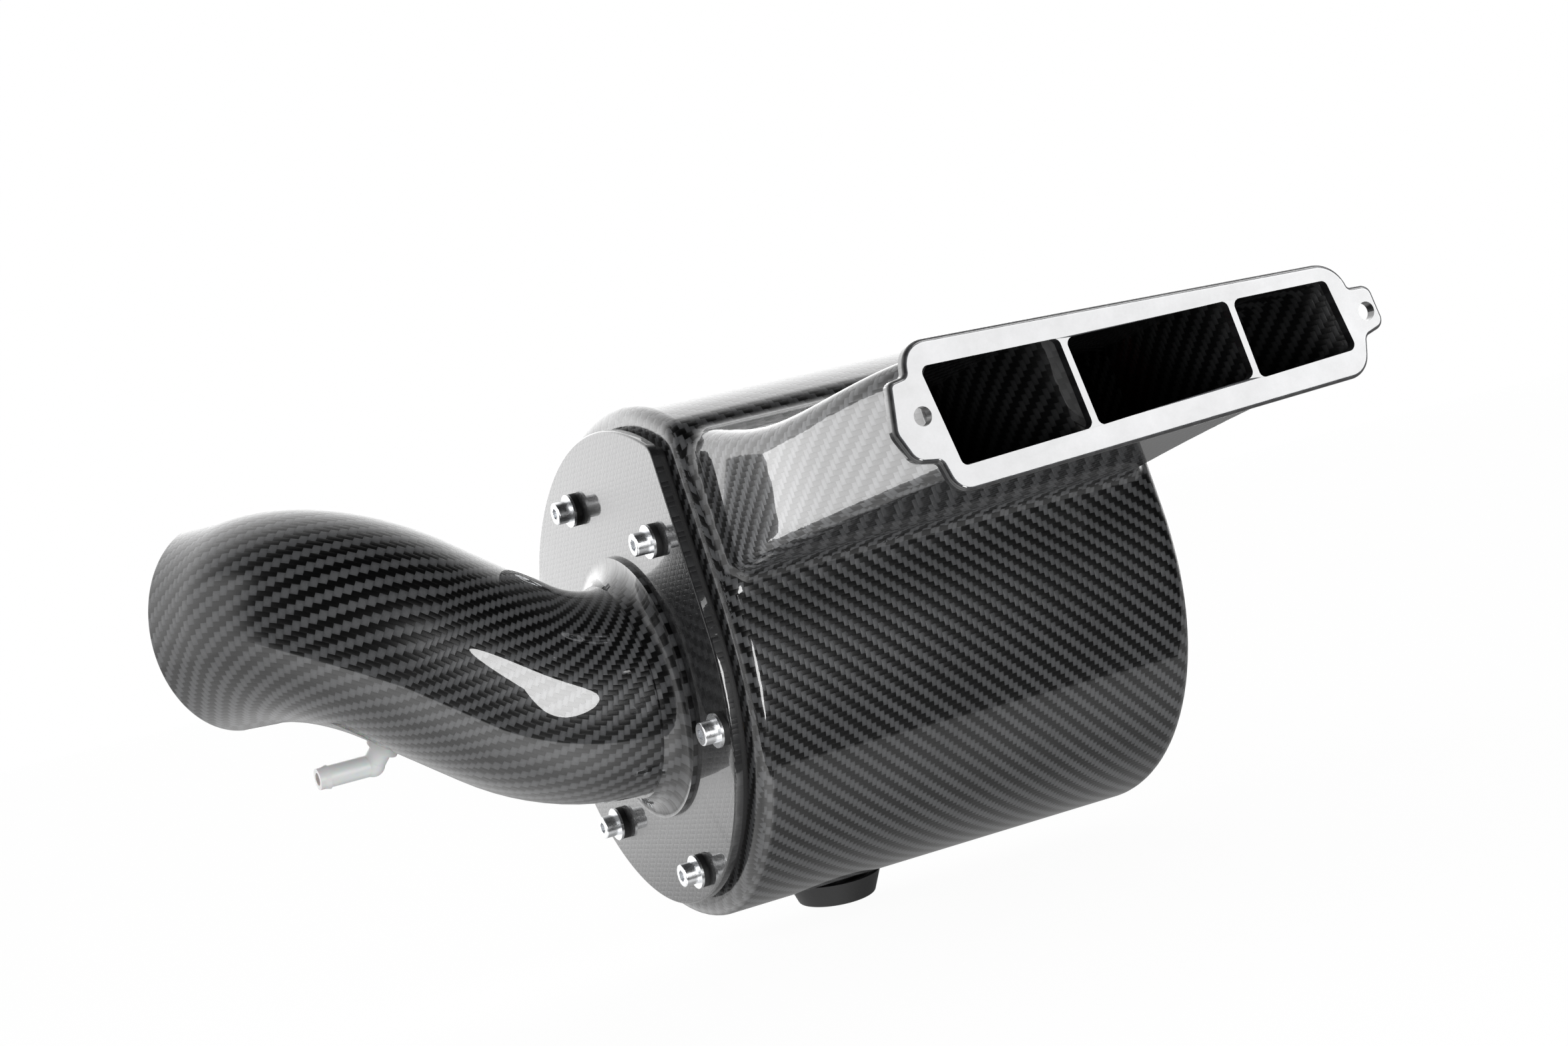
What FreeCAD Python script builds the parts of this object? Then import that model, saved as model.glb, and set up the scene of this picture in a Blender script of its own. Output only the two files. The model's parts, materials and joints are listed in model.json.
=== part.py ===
import FreeCAD, Part
import Sketcher

import math
import os

# Carbon cold-air intake box: a cylindrical air box with a bolted lid, an S-bend outlet
# pipe, a wide inlet duct with a three-window flange, and a cone filter inside.
#
# Every sub-part is drawn in the box frame, whose X axis is the box's own axis and whose
# origin is the lid's front face. Its Placement then moves it to the hand-in frame, whose
# origin is the middle of the inlet flange's two fixing holes, on the flange face.

doc = FreeCAD.newDocument("intake_box")
V = FreeCAD.Vector
sheet = doc.addObject("Spreadsheet::Sheet", "Sizes")

SIZES = [
    # lid outline: a circle, a straight front edge that leans back, and a flatter crown
    ("lid_radius", 86.0), ("edge_angle", 170.0), ("crown_radius", 118.8),
    ("crown_angle", 50.0), ("lid_corner", 7.0), ("lid_thick", 3.2),
    # the port that the outlet pipe and the bolt circle share
    ("port_y", -6.0), ("port_z", -2.0), ("bolt_circle", 73.0), ("bolt_count", 6),
    ("bolt_start", 15.0), ("shank_radius", 2.45), ("head_radius", 4.25),
    ("head_height", 5.4), ("key_flats", 4.0), ("key_depth", 2.6), ("shank_end", 17.0),
    ("clear_radius", 2.75), ("washer_radius", 6.3), ("washer_thick", 1.0),
    ("seal_thick", 2.3),
    # gasket and box
    ("lid_gap", 0.3), ("gasket_thick", 2.9), ("gasket_inset", 2.5),
    ("box_front", 6.4), ("box_rear", 192.0), ("box_offset", 7.5), ("wall", 2.6),
    ("front_round", 6.0), ("rear_round", 9.0), ("flange_thick", 3.6),
    ("mouth_radius", 65.0), ("insert_radius", 4.5), ("insert_bore", 2.52),
    ("insert_lip", 6.0), ("insert_length", 9.0), ("insert_lip_thick", 1.4),
    # inlet duct and flange
    ("flange_y", -200.0), ("flange_plate", 4.0), ("duct_wall", 2.4),
    ("hole_left_x", 43.5), ("hole_right_x", 221.0), ("hole_z", 67.0),
    ("hole_radius", 3.3), ("flange_round", 1.8), ("window_corner", 2.5), ("lid_round", 0.8),
    ("vane_thick", 2.2), ("vane_depth", 62.0), ("vane_low", 20.0), ("vane_high", 100.0),
    ("duct_start", 60.0), ("duct_end", 196.0), ("duct_front", 11.8), ("duct_bend", 92.0),
    ("duct_front_low", 50.5), ("duct_front_high", 44.5), ("duct_rear", 180.0),
    ("duct_rear_low", 217.0), ("duct_rear_high", 210.5), ("duct_floor", 25.5),
    ("duct_floor_front", 46.0), ("duct_floor_rear", 51.0), ("duct_roof", 85.0),
    ("duct_roof_front", 87.0), ("duct_roof_rear", 84.0), ("duct_dip", 8.0),
    ("duct_low_corner", 6.0), ("duct_high_corner", 9.0), ("duct_fillet", 8.0),
    ("duct_joint", 98.0),
    # outlet pipe
    ("pipe_radius", 39.5), ("pipe_wall", 2.2), ("spigot_end", 29.6),
    ("pipe_lead", 8.0), ("rise_side", 83.0), ("rise_turn", 38.0), ("rise_radius", 69.0),
    ("pipe_middle", 39.0), ("away_side", -24.0), ("away_turn", 61.5),
    ("away_radius", 54.0), ("pipe_tail", 19.0),
    ("collar_radius", 50.0), ("collar_edge", 1.8), ("collar_height", 9.0),
    ("collar_lip", 1.2), ("collar_hollow", 0.3),
    # hose barb under the pipe
    ("barb_radius", 4.1), ("barb_length", 21.5), ("barb_bore", 2.4), ("barb_rib", 0.5),
    ("barb_rib_length", 4.0), ("stub_radius", 4.2), ("barb_station", 28.5),
    ("boss_radius", 6.2), ("boss_rise", 3.5), ("elbow_height", 11.0),
    # foot
    ("foot_x", 68.0), ("foot_lean", 9.0), ("foot_top", 18.5), ("foot_bottom", 15.0),
    ("foot_height", 9.0), ("foot_skin", 2.4), ("foot_floor", 3.0), ("foot_boss", 7.0),
    ("foot_gap", 0.4), ("foot_round", 1.2), ("screw_radius", 3.0), ("screw_head", 5.2),
    ("screw_head_height", 2.0), ("screw_sunk", 0.2), ("screw_reach", 9.0),
    ("nut_radius", 5.77), ("nut_height", 5.2), ("nut_flange", 8.5), ("nut_flange_thick", 1.4),
    ("nut_gap", 0.4), ("slack", 0.1),
    # cone filter
    ("neck_start", 9.0), ("neck_length", 21.0), ("neck_thick", 3.6),
    ("filter_fit", 0.08),
    ("base_radius", 62.0), ("base_thick", 6.0), ("media_length", 96.0),
    ("media_front", 58.0), ("media_rear", 46.0), ("pleat_depth", 7.0),
    ("pleat_count", 44), ("media_bore_front", 37.0), ("media_bore_rear", 27.0),
    ("cap_radius", 48.0), ("cap_thick", 9.0), ("band_width", 9.0), ("band_thick", 0.8),
    ("clamp_box", 9.0), ("clamp_length", 13.0), ("clamp_screw", 2.25), ("clamp_head", 3.3),
    ("clamp_head_length", 4.0), ("clamp_axis", 3.4),
]
for row, (alias, value) in enumerate(SIZES, start=1):
    sheet.set(f"A{row}", alias)
    sheet.set(f"B{row}", str(value))
    sheet.setAlias(f"B{row}", alias)
doc.recompute()


def size(alias):
    """A driving dimension, read back from the sheet."""
    return float(sheet.get(alias))


SUBPARTS = []


def settle(piece, label):
    """Name a finished sub-part and move it from the box frame to the hand-in frame."""
    piece.Label = label
    piece.setExpression("Placement.Base.x", "-(Sizes.hole_left_x + Sizes.hole_right_x) / 2")
    piece.setExpression("Placement.Base.y", "-Sizes.flange_y")
    piece.setExpression("Placement.Base.z", "-Sizes.hole_z")
    SUBPARTS.append(piece)
    return piece


def shape_piece(label, shape):
    """A sub-part whose shape Part's own functions make; its Placement follows its Shape."""
    bare = shape.copy()
    moved = bare.Placement.toMatrix()
    bare.Placement = FreeCAD.Placement()
    piece = doc.addObject("Part::Feature", label)
    piece.Shape = bare.transformed(moved, True)
    return settle(piece, label)


# ---------------------------------------------------------------- sketch helpers

def new_body(name):
    return doc.addObject("PartDesign::Body", name)


def new_sketch(body, name, plane, offset="0"):
    """A sketch on one of the body's own origin planes, moved along the plane's normal."""
    sketch = body.newObject("Sketcher::SketchObject", name)
    feature = [f for f in body.Origin.OriginFeatures if f.Role == plane][0]
    sketch.AttachmentSupport = [(feature, "")]
    sketch.MapMode = "FlatFace"
    sketch.setExpression("AttachmentOffset.Base.z", offset)
    return sketch


def add_circle(sketch, u, v, radius):
    """A circle whose centre and radius are bound to expressions."""
    circle = sketch.addGeometry(Part.Circle(V(1, 1, 0), V(0, 0, 1), 1))
    across = sketch.addConstraint(Sketcher.Constraint("DistanceX", -1, 1, circle, 3, 1.0))
    along = sketch.addConstraint(Sketcher.Constraint("DistanceY", -1, 1, circle, 3, 1.0))
    round_ = sketch.addConstraint(Sketcher.Constraint("Radius", circle, 1.0))
    sketch.setExpression(f"Constraints[{across}]", u)
    sketch.setExpression(f"Constraints[{along}]", v)
    sketch.setExpression(f"Constraints[{round_}]", radius)


def add_outline(sketch, edges):
    """Closed outline from lines and arcs that already meet end to end."""
    sketch.addGeometry(edges, False)


def rounded_corners(points):
    """Lines and arcs round a closed polygon of (u, v, corner radius)."""
    count = len(points)
    starts, ends, middles = [], [], []
    for i, (u, v, radius) in enumerate(points):
        corner = V(u, v, 0)
        before = V(points[i - 1][0], points[i - 1][1], 0) - corner
        after = V(points[(i + 1) % count][0], points[(i + 1) % count][1], 0) - corner
        before.normalize()
        after.normalize()
        half = before.getAngle(after) / 2
        back = radius / math.tan(half)
        inward = before + after
        inward.normalize()
        starts.append(corner + before * back)
        ends.append(corner + after * back)
        middles.append(corner + inward * (radius / math.sin(half) - radius))
    edges = []
    for i in range(count):
        edges.append(Part.Arc(starts[i], middles[i], ends[i]))
        edges.append(Part.LineSegment(ends[i], starts[(i + 1) % count]))
    return edges


def polar(radius, degrees, centre=(0.0, 0.0)):
    angle = math.radians(degrees)
    return V(centre[0] + radius * math.cos(angle), centre[1] + radius * math.sin(angle), 0)


def crowned_outline(offset):
    """The lid's outline, grown by an offset: circle, crown, rounded corner, straight edge."""
    radius = size("lid_radius")
    crown = size("crown_radius")
    corner = size("lid_corner")
    crown_centre = polar(-(crown - radius), size("crown_angle"))
    normal = polar(1, size("edge_angle"))
    along = V(normal.y, -normal.x, 0)
    # The corner's centre keeps the corner radius inside both the straight edge and the crown.
    foot = normal * (radius - corner)
    gap = foot - crown_centre
    half = gap.dot(along)
    reach = math.sqrt(half ** 2 - gap.dot(gap) + (crown - corner) ** 2)
    corner_centre = foot + along * (reach - half)
    outward = corner_centre - crown_centre
    outward.normalize()
    bisector = outward + normal
    bisector.normalize()
    crown_start = crown_centre + polar(crown + offset, size("crown_angle"))
    crown_end = corner_centre + outward * (corner + offset)
    crown_middle = crown_start + crown_end - crown_centre * 2
    crown_middle.normalize()
    crown_middle = crown_centre + crown_middle * (crown + offset)
    edge_top = corner_centre + normal * (corner + offset)
    edge_foot = normal * (radius + offset)
    return [
        Part.Arc(crown_start, crown_middle, crown_end),
        Part.Arc(crown_end, corner_centre + bisector * (corner + offset), edge_top),
        Part.LineSegment(edge_top, edge_foot),
        Part.Arc(edge_foot, polar(radius + offset, 290), crown_start),
    ]


def pad(body, sketch, length, name="Pad"):
    feature = body.newObject("PartDesign::Pad", name)
    feature.Profile = sketch
    feature.setExpression("Length", length)
    return feature


def pocket(body, sketch, length, name="Pocket"):
    feature = body.newObject("PartDesign::Pocket", name)
    feature.Profile = sketch
    feature.setExpression("Length", length)
    feature.Reversed = True
    return feature


def loft(body, sketches, name):
    feature = body.newObject("PartDesign::AdditiveLoft", name)
    feature.Profile = sketches[0]
    feature.Sections = sketches[1:]
    feature.Ruled = False
    return feature


def bolt_places():
    """Centres of the lid bolts in the lid plane."""
    step = 360.0 / size("bolt_count")
    return [polar(size("bolt_circle"), size("bolt_start") + i * step,
                  (size("port_y"), size("port_z"))) for i in range(int(size("bolt_count")))]


def rod(x_from, x_to, y, z, radius):
    """A solid round bar along X."""
    return Part.makeCylinder(radius, x_to - x_from, V(x_from, y, z), V(1, 0, 0))


# ---------------------------------------------------------------- inlet duct

DUCT_SECTIONS = 7


def duct_corners(depth, inset):
    """The duct's four rounded corners at a depth in front of the box axis, as (x, z, radius)."""
    start = size("duct_start")
    along = (depth - start) / (size("duct_end") - start)
    # The front wall leaves square to the axis, then sweeps back in a parabola.
    bend = size("duct_bend")
    sweep = max(0.0, (depth - bend) / (size("duct_end") - bend)) ** 2
    front_low = size("duct_front") + (size("duct_front_low") - size("duct_front")) * sweep
    front_high = size("duct_front") + (size("duct_front_high") - size("duct_front")) * sweep
    rear_low = size("duct_rear") + (size("duct_rear_low") - size("duct_rear")) * along ** 2
    rear_high = size("duct_rear") + (size("duct_rear_high") - size("duct_rear")) * along ** 2
    floor_front = size("duct_floor") + (size("duct_floor_front") - size("duct_floor")) * along
    floor_rear = size("duct_floor") + (size("duct_floor_rear") - size("duct_floor")) * along
    dip = size("duct_dip") * math.sin(math.pi * along) ** 2
    roof_front = size("duct_roof") + (size("duct_roof_front") - size("duct_roof")) * along - dip
    roof_rear = size("duct_roof") + (size("duct_roof_rear") - size("duct_roof")) * along - dip / 2
    low = size("duct_low_corner") - inset / 2
    high = size("duct_high_corner") - inset / 2
    return [
        (front_low + inset, floor_front + inset, low),
        (front_high + inset, roof_front - inset, high),
        (rear_high - inset, roof_rear - inset, high),
        (rear_low - inset, floor_rear + inset, low),
    ]


def duct_loft(name, inset, extra):
    """The duct's outer shape, or its hollow when inset by the wall and run past both ends."""
    body = new_body(name)
    sketches = []
    start = size("duct_start") - extra
    run = size("duct_end") + extra - start
    for i in range(DUCT_SECTIONS):
        depth = start + run * i / (DUCT_SECTIONS - 1)
        sketch = new_sketch(body, f"{name}_section_{i}", "XZ_Plane",
                            f"Sizes.duct_start - {extra} + (Sizes.duct_end - Sizes.duct_start + "
                            f"{2 * extra}) * {i} / {DUCT_SECTIONS - 1}")
        add_outline(sketch, rounded_corners(duct_corners(depth, inset)))
        sketches.append(sketch)
    loft(body, sketches, f"{name}_loft")
    return body


# ---------------------------------------------------------------- housing shell

def edges_where(shape, test):
    """Names of a shape's edges whose points all pass a test."""
    names = []
    for i, edge in enumerate(shape.Edges, start=1):
        if all(test(point) for point in edge.discretize(7)):
            names.append(f"Edge{i}")
    return names


def round_edges(body, base, names, radius):
    feature = body.newObject("PartDesign::Fillet", f"{base.Name}_round")
    feature.Base = (base, names)
    feature.setExpression("Radius", radius)
    doc.recompute()
    return feature


def shared_edges(whole, first, second):
    """Edges of a fused shape that lie on the skins of both of its parts."""
    def on_skin(point, shape):
        return shape.distToShape(Part.Vertex(point))[0] < 0.01
    first_skin = Part.Compound(first.Faces)
    second_skin = Part.Compound(second.Faces)
    return edges_where(whole, lambda p: on_skin(p, first_skin) and on_skin(p, second_skin))


def barrel_outside():
    barrel = new_body("barrel_outside")
    outline = new_sketch(barrel, "barrel_outline", "YZ_Plane", "Sizes.box_front")
    add_outline(outline, crowned_outline(size("box_offset")))
    block = pad(barrel, outline, "Sizes.box_rear - Sizes.box_front", "barrel_pad")
    doc.recompute()
    front = edges_where(block.Shape, lambda p: abs(p.x - size("box_front")) < 0.01)
    front_round = round_edges(barrel, block, front, "Sizes.front_round")
    rear = edges_where(front_round.Shape, lambda p: abs(p.x - size("box_rear")) < 0.01)
    round_edges(barrel, front_round, rear, "Sizes.rear_round")
    return barrel


def barrel_hollow():
    hollow = new_body("barrel_hollow")
    inner = new_sketch(hollow, "hollow_outline", "YZ_Plane", "Sizes.box_front + Sizes.flange_thick")
    add_outline(inner, crowned_outline(size("box_offset") - size("wall")))
    block = pad(hollow, inner,
                "Sizes.box_rear - Sizes.box_front - Sizes.flange_thick - Sizes.wall", "hollow_pad")
    doc.recompute()
    inner_front = size("box_front") + size("flange_thick")
    front = edges_where(block.Shape, lambda p: abs(p.x - inner_front) < 0.01)
    front_round = round_edges(hollow, block, front, "Sizes.front_round - Sizes.wall")
    inner_rear = size("box_rear") - size("wall")
    rear = edges_where(front_round.Shape, lambda p: abs(p.x - inner_rear) < 0.01)
    round_edges(hollow, front_round, rear, "Sizes.rear_round - Sizes.wall")
    return hollow


def housing_shell(barrel, duct, inside):
    """The housing, hollowed out and drilled, then parted into the barrel and the duct."""
    outside = doc.addObject("Part::MultiFuse", "housing_outside")
    outside.Shapes = [barrel, duct]
    doc.recompute()
    seam = shared_edges(outside.Shape, barrel.Shape, duct.Shape)
    blended = doc.addObject("Part::Fillet", "housing_blended")
    blended.Base = outside
    radius = size("duct_fillet")
    blended.Edges = [(int(name[4:]), radius, radius) for name in seam]
    doc.recompute()
    hollowed = doc.addObject("Part::Cut", "housing_hollowed")
    hollowed.Base = blended
    hollowed.Tool = inside
    holes = doc.addObject("Part::Feature", "housing_holes")
    front = size("box_front")
    mouth = rod(front - 1, front + size("flange_thick") + 1, size("port_y"), size("port_z"),
                size("mouth_radius"))
    cutters = [mouth]
    for place in bolt_places():
        cutters.append(rod(front - 1, front + size("flange_thick") + 1, place.x, place.y,
                           size("insert_radius")))
    screw_hole = Part.makeCylinder(size("screw_radius") + size("slack"), 20, V(0, 0, -12))
    cutters.append(on_foot_axis(screw_hole))
    holes.Shape = Part.Compound(cutters)
    shell = doc.addObject("Part::Cut", "housing_drilled")
    shell.Base = hollowed
    shell.Tool = holes
    # The duct is laid up on its own and bonded to a short root on the barrel.
    front_space = doc.addObject("Part::Box", "space_in_front_of_joint")
    front_space.setExpression("Length", "Sizes.box_rear + 100")
    front_space.setExpression("Width", "-Sizes.flange_y")
    front_space.setExpression("Height", "Sizes.duct_roof + 50")
    front_space.setExpression("Placement.Base.x", "-10")
    front_space.setExpression("Placement.Base.y", "Sizes.flange_y - Sizes.duct_joint")
    duct_half = doc.addObject("Part::Common", "duct_beyond_joint")
    duct_half.Base = shell
    duct_half.Tool = front_space
    barrel_half = doc.addObject("Part::Cut", "barrel_up_to_joint")
    barrel_half.Base = shell
    barrel_half.Tool = front_space
    settle(barrel_half, "housing_barrel")
    settle(duct_half, "inlet_duct")


def on_foot_axis(shape):
    """Move a shape drawn up its own +Z so that +Z runs out along the foot, from the barrel."""
    outer = size("lid_radius") + size("box_offset")
    turn = FreeCAD.Rotation(V(1, 0, 0), 180 + size("foot_lean"))
    root = V(size("foot_x"), 0, 0) + turn.multVec(V(0, 0, outer))
    moved = shape.copy()
    moved.Placement = FreeCAD.Placement(root, turn).multiply(moved.Placement)
    return moved


# ---------------------------------------------------------------- inlet flange and vanes

# Windows from left to right: X of the left side (low, high), X of the right side (low,
# high), then the height of the floor and of the roof at the left and the right.
FLANGE_WINDOWS = [
    (53.6, 46.4, 104.5, 99.3, (48.2, 50.4), (82.9, 81.9)),
    (106.9, 101.7, 170.3, 166.3, (50.4, 54.0), (81.3, 81.4)),
    (172.7, 168.7, 213.6, 207.4, (53.0, 55.0), (81.3, 80.6)),
]

# How far each vane's inner end lies toward the front wall, following the duct.
VANE_SWEEP = (22.0, 12.0)


def inlet_flange():
    """Glossy end plate of the duct: two fixing ears and three slanted windows."""
    body = new_body("flange_body")
    back = "-Sizes.flange_y - Sizes.flange_plate"
    outline = new_sketch(body, "flange_outline", "XZ_Plane", back)
    # The outline is drawn from the two fixing holes, clockwise from the upper left corner.
    left = size("hole_left_x")
    right = size("hole_right_x")
    hole = size("hole_z")
    add_outline(outline, rounded_corners([
        (left - 1.5, hole + 25.0, 9), (right - 7.5, hole + 19.5, 13),
        (right - 4.5, hole + 9.5, 1.5), (right + 4, hole + 9, 4),
        (right + 7, hole - 6, 4), (right - 1.5, hole - 8.5, 2),
        (right - 4.5, hole - 21.5, 9), (left + 6, hole - 27.5, 8),
        (left + 2.5, hole - 16, 2), (left - 6.5, hole - 14.5, 6),
        (left - 11.5, hole - 4, 6), (left - 9.5, hole + 13, 3), (left - 3, hole + 14, 1.5),
    ]))
    plate = pad(body, outline, "Sizes.flange_plate", "flange_pad")
    doc.recompute()
    front = edges_where(plate.Shape, lambda p: abs(p.y - size("flange_y")) < 0.01)
    round_edges(body, plate, front, "Sizes.flange_round")
    corner = size("window_corner")
    windows = new_sketch(body, "flange_windows", "XZ_Plane", back + " - 1")
    for low_left, high_left, low_right, high_right, floor, roof in FLANGE_WINDOWS:
        add_outline(windows, rounded_corners([
            (low_left, floor[0], corner), (high_left, roof[0], corner),
            (high_right, roof[1], corner), (low_right, floor[1], corner)]))
    add_circle(windows, "Sizes.hole_left_x", "Sizes.hole_z", "Sizes.hole_radius")
    add_circle(windows, "Sizes.hole_right_x", "Sizes.hole_z", "Sizes.hole_radius")
    pocket(body, windows, "Sizes.flange_plate + 2", "flange_cut")
    return settle(body, "inlet_flange")


def inlet_vane(index, duct_hollow):
    """Thin guide vane behind a bar of the flange, cut to the duct's hollow."""
    before = FLANGE_WINDOWS[index]
    after = FLANGE_WINDOWS[index + 1]
    low = (before[2] + after[0]) / 2
    high = (before[3] + after[1]) / 2
    floor = before[4][1]
    roof = before[5][1]
    # The blank keeps the bar's lean but runs past the duct's floor and roof.
    lean = (high - low) / (roof - floor)
    low -= lean * (floor - size("vane_low"))
    high += lean * (size("vane_high") - roof)
    half = size("vane_thick") / 2
    body = new_body(f"vane_blank_{index + 1}")
    sketches = []
    for i in range(3):
        along = i / 2
        back = VANE_SWEEP[index] * (along + 0.25 * math.sin(math.pi * along))
        sketch = new_sketch(body, f"vane_{index + 1}_section_{i}", "XZ_Plane",
                            f"Sizes.duct_end - Sizes.vane_depth * {along}")
        corners = [(low - half - back, size("vane_low")), (high - half - back, size("vane_high")),
                   (high + half - back, size("vane_high")), (low + half - back, size("vane_low"))]
        lines = []
        for j, (u, v) in enumerate(corners):
            lines.append(Part.LineSegment(V(*corners[j - 1], 0), V(u, v, 0)))
        add_outline(sketch, lines)
        sketches.append(sketch)
    loft(body, sketches, f"vane_{index + 1}_loft")
    vane = doc.addObject("Part::Common", f"vane_trimmed_{index + 1}")
    vane.Base = body
    vane.Tool = duct_hollow
    return settle(vane, f"inlet_vane_{index + 1}")


# ---------------------------------------------------------------- lid and gasket

def lid_plate():
    body = new_body("lid_body")
    outline = new_sketch(body, "lid_outline", "YZ_Plane")
    add_outline(outline, crowned_outline(0.0))
    pad(body, outline, "Sizes.lid_thick", "lid_pad")
    cuts = new_sketch(body, "lid_cuts", "YZ_Plane", "-1")
    add_circle(cuts, "Sizes.port_y", "Sizes.port_z", "Sizes.pipe_radius")
    add_bolt_circles(cuts, "Sizes.clear_radius")
    pocket(body, cuts, "Sizes.lid_thick + 2", "lid_cut")
    doc.recompute()
    rim = edges_where(body.Shape, lambda p: abs(p.x) < 0.01
                      and math.hypot(p.y, p.z) > size("lid_radius") - 3)
    round_edges(body, body.Tip, rim, "Sizes.lid_round")
    return settle(body, "lid_plate")


def add_bolt_circles(sketch, radius):
    for i in range(int(size("bolt_count"))):
        angle = f"(Sizes.bolt_start + {i} * 360 / Sizes.bolt_count) * 1 deg"
        add_circle(sketch, f"Sizes.port_y + Sizes.bolt_circle * cos({angle})",
                   f"Sizes.port_z + Sizes.bolt_circle * sin({angle})", radius)


def lid_gasket():
    """Foam ring between the lid and the box, bonded to the box."""
    body = new_body("gasket_body")
    outline = new_sketch(body, "gasket_outline", "YZ_Plane", "Sizes.lid_thick + Sizes.lid_gap")
    add_outline(outline, crowned_outline(-size("gasket_inset")))
    pad(body, outline, "Sizes.gasket_thick", "gasket_pad")
    cuts = new_sketch(body, "gasket_cuts", "YZ_Plane", "Sizes.lid_thick")
    add_circle(cuts, "Sizes.port_y", "Sizes.port_z", "Sizes.mouth_radius")
    add_bolt_circles(cuts, "Sizes.clear_radius + 0.5")
    pocket(body, cuts, "Sizes.gasket_thick + 2", "gasket_cut")
    return settle(body, "lid_gasket")


# ---------------------------------------------------------------- fasteners

def around_lid(label, single):
    """Six copies of a fastener, one at each lid bolt place, as a group of solids."""
    copies = []
    for place in bolt_places():
        copy = single.copy()
        copy.translate(V(0, place.x, place.y))
        copies.append(copy)
    return shape_piece(label, Part.Compound(copies))


def hexagon(flats):
    """Hexagon face in the YZ plane, by its size across flats."""
    corners = [polar(flats / math.sqrt(3), 30 + 60 * i) for i in range(7)]
    return Part.Face(Part.makePolygon([V(0, c.x, c.y) for c in corners]))


def lid_bolt():
    under_head = -(size("washer_thick") + size("seal_thick"))
    top = under_head - size("head_height")
    head = rod(top, under_head, 0, 0, size("head_radius"))
    rim = edges_of(head, lambda p: abs(p.x - top) < 0.01)
    head = head.makeFillet(0.5, rim)
    socket = hexagon(size("key_flats"))
    socket.translate(V(top, 0, 0))
    head = head.cut(socket.extrude(V(size("key_depth"), 0, 0)))
    shank = rod(under_head - 0.5, size("shank_end"), 0, 0, size("shank_radius"))
    return head.fuse(shank).removeSplitter()


def edges_of(shape, test):
    return [shape.Edges[int(name[4:]) - 1] for name in edges_where(shape, test)]


def ring(x_from, x_to, outer, inner):
    return rod(x_from, x_to, 0, 0, outer).cut(rod(x_from - 1, x_to + 1, 0, 0, inner))


def lid_fasteners():
    seal = size("seal_thick")
    washer = size("washer_thick")
    outer = size("washer_radius")
    bore = size("clear_radius")
    around_lid("lid_bolts", lid_bolt())
    around_lid("steel_washers", ring(-seal - washer, -seal, outer, bore))
    around_lid("rubber_washers", ring(-seal, 0, outer - 0.1, bore))


def lid_inserts():
    """Threaded inserts bonded in the box flange, each with a lip behind the flange."""
    front = size("box_front")
    back = front + size("flange_thick")
    barrel = rod(front, front + size("insert_length"), 0, 0, size("insert_radius"))
    lip = rod(back, back + size("insert_lip_thick"), 0, 0, size("insert_lip"))
    bore = rod(front - 1, front + size("insert_length") + 1, 0, 0, size("insert_bore"))
    around_lid("lid_inserts", barrel.fuse(lip).cut(bore))


# ---------------------------------------------------------------- outlet pipe

def bend(point, heading, side_angle, turn, radius):
    """An arc that starts along a heading and turns toward a side given in the YZ plane."""
    side = V(0, math.cos(math.radians(side_angle)), math.sin(math.radians(side_angle)))
    side = side - heading * side.dot(heading)
    side.normalize()
    centre = point + side * radius

    def at(angle):
        return centre - side * (radius * math.cos(angle)) + heading * (radius * math.sin(angle))

    end = math.radians(turn)
    arc = Part.Arc(point, at(end / 2), at(end)).toShape()
    new_heading = heading * math.cos(end) + side * math.sin(end)
    return arc, at(end), new_heading


def pipe_route(extend):
    """Straight, bend, straight, bend, straight, from inside the lid to the outlet mouth."""
    heading = V(-1, 0, 0)
    start = V(size("spigot_end") + extend, size("port_y"), size("port_z"))
    point = V(-size("pipe_lead"), size("port_y"), size("port_z"))
    edges = [Part.LineSegment(start, point).toShape()]
    arc, point, heading = bend(point, heading, size("rise_side"), size("rise_turn"),
                               size("rise_radius"))
    edges.append(arc)
    after = point + heading * size("pipe_middle")
    edges.append(Part.LineSegment(point, after).toShape())
    middle = (point, heading)
    arc, point, heading = bend(after, heading, size("away_side"), size("away_turn"),
                               size("away_radius"))
    edges.append(arc)
    mouth = point + heading * size("pipe_tail")
    edges.append(Part.LineSegment(point, mouth + heading * extend).toShape())
    return Part.Wire(edges), middle, mouth, heading


def swept_pipe(name, radius, extend):
    """A round bar along the pipe's route."""
    route = doc.addObject("Part::Feature", f"{name}_route")
    route.Shape = pipe_route(extend)[0]
    circle = doc.addObject("Part::Circle", f"{name}_circle")
    circle.setExpression("Radius", radius)
    start = route.Shape.Vertexes[0].Point
    circle.Placement = FreeCAD.Placement(start, FreeCAD.Rotation(V(0, 0, 1), V(-1, 0, 0)))
    sweep = doc.addObject("Part::Sweep", f"{name}_sweep")
    sweep.Sections = [circle]
    sweep.Spine = (route, [f"Edge{i}" for i in range(1, 6)])
    sweep.Solid = True
    sweep.Frenet = False
    return sweep


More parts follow.
